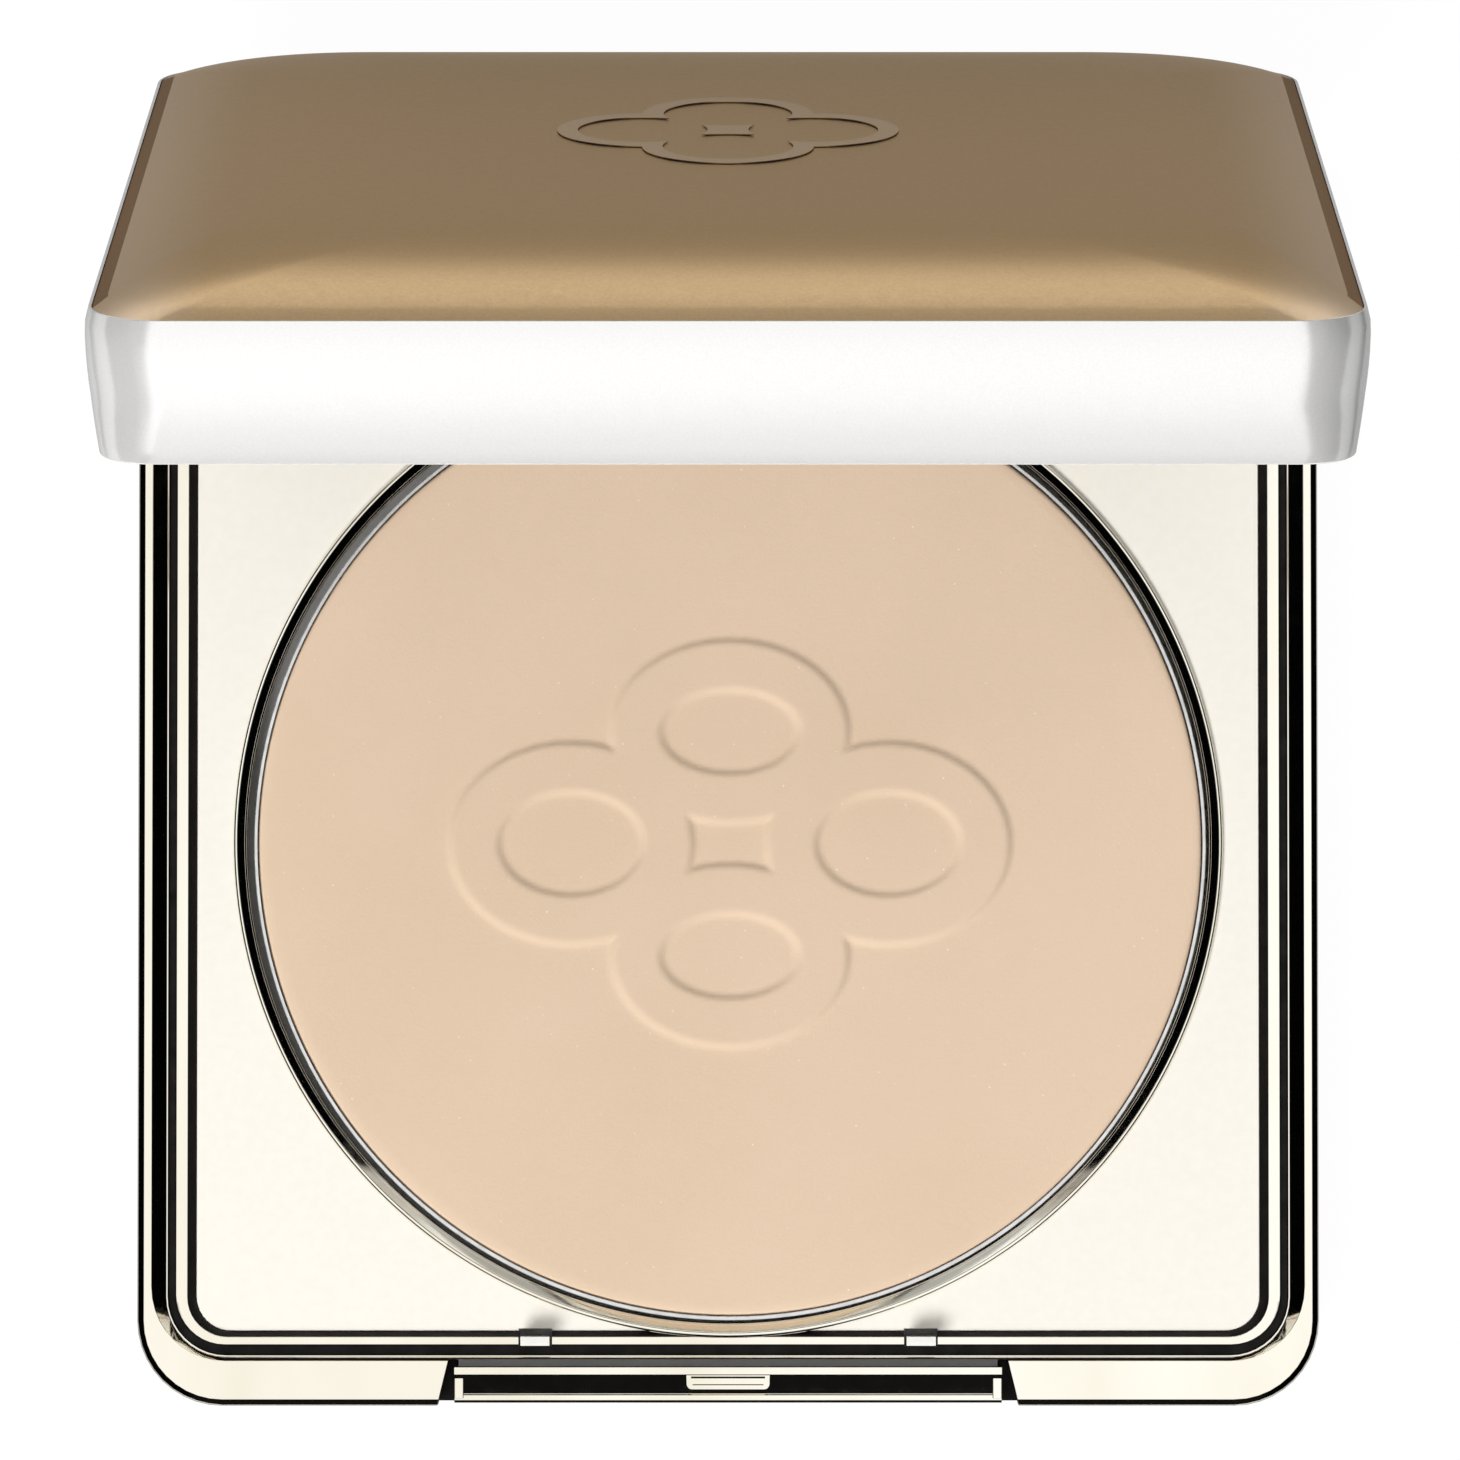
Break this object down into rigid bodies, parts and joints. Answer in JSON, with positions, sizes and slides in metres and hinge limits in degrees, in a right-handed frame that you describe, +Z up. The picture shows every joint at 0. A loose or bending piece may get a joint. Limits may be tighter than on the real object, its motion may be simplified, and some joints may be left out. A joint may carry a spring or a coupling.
{
  "type": "powder compact",
  "caption": "Square makeup powder compact with a round pan of pressed powder, a wide front push button and a hinged mirror lid with a domed satin cover.",
  "frame": {"origin": "centre of the flat bottom face of the base", "axes": "+Z up, +Y from the front button to the hinge, +X to the user's right"},
  "size_m": [0.0734, 0.0838, 0.0778],
  "materials": {
    "case": "pearl white gloss",
    "champagne_plating": "mirror plated, pale champagne",
    "cream_deck": "smooth satin cream",
    "pan_metal": "plain drawn sheet",
    "pressed_powder": "matt pressed powder",
    "adhesive": "white foam tape",
    "pin_steel": "drawn wire",
    "latch_plastic": "natural acetal",
    "spring_steel": "spring wire",
    "pearl": "pearl white gloss",
    "satin_gold": "satin metallised champagne gold",
    "foil": "hot foil",
    "mirror_glass": "silvered glass"
  },
  "bodies": {
    "base": {"base_case": "case", "base_frame": "champagne_plating", "deck_plate": "cream_deck", "pan_ring": "champagne_plating", "powder_pan": "pan_metal", "powder_cake": "pressed_powder", "pan_adhesive": "adhesive", "left_hinge_pin": "pin_steel", "right_hinge_pin": "pin_steel", "left_latch_spring": "spring_steel", "right_latch_spring": "spring_steel"},
    "button": {"button_cap": "champagne_plating", "button_nib": "champagne_plating", "latch_slider": "latch_plastic"},
    "lid": {"lid_shell": "pearl", "lid_plate": "satin_gold", "plate_adhesive": "adhesive", "lid_ornament": "foil", "mirror_frame": "pearl", "mirror": "mirror_glass", "mirror_adhesive": "adhesive"}
  },
  "joints": [
    {"name": "lid_hinge", "type": "hinge", "parent": "base", "child": "lid", "pos_m": [0, 0.03755, 0.0061], "axis": [-1, 0, 0], "range_deg": [-73, 37]},
    {"name": "button_press", "type": "slide", "parent": "base", "child": "button", "axis": [0, 1, 0], "range_m": [0, 0.00042], "stiffness_N_per_m": 600, "springref_m": -0.002, "deforming": ["left_latch_spring", "right_latch_spring"]}
  ]
}
